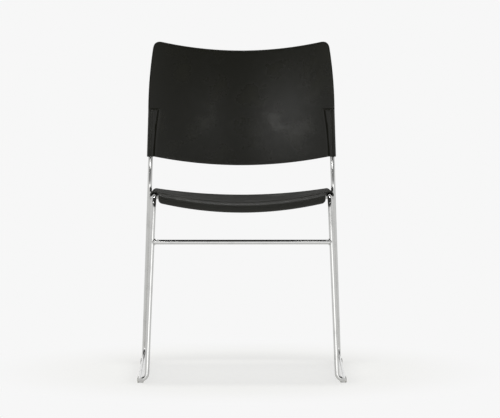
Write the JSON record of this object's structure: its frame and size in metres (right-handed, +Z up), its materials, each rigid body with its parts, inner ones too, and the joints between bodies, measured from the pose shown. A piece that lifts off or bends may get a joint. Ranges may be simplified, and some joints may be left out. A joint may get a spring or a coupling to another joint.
{
  "type": "choir chair",
  "caption": "Armless stacking chair with a chromed steel-rod sled base, side runners, a dished plastic seat and a curved plastic back.",
  "frame": {"origin": "on the floor, under the middle of the chair's outline seen from above", "axes": "+Z up, -Y the way a seated person faces, +X to the right of someone who looks at the chair's front"},
  "size_m": [0.4872, 0.5327, 0.7741],
  "materials": {
    "chromed_rod": "bright chrome plate on bent steel rod",
    "chromed_weld": "chrome plate over a ground weld bead",
    "seat_plastic": "black moulded polypropylene with a fine grain",
    "back_plastic": "black moulded polypropylene with a fine grain",
    "glide_nylon": "natural milky nylon",
    "screw_steel": "zinc-plated steel"
  },
  "bodies": {
    "root": {"left_side_rod": "chromed_rod", "right_side_rod": "chromed_rod", "front_cross_rod": "chromed_rod", "rear_cross_rod": "chromed_rod", "front_weld_left": "chromed_weld", "front_weld_right": "chromed_weld", "rear_weld_left": "chromed_weld", "rear_weld_right": "chromed_weld", "rail_weld_left": "chromed_weld", "rail_weld_right": "chromed_weld", "seat_shell": "seat_plastic", "back_shell": "back_plastic", "glide_front_left": "glide_nylon", "glide_front_right": "glide_nylon", "glide_rear_left": "glide_nylon", "glide_rear_right": "glide_nylon", "seat_screws_left": "screw_steel", "seat_screws_right": "screw_steel", "back_screw_left": "screw_steel", "back_screw_right": "screw_steel"}
  },
  "joints": []
}
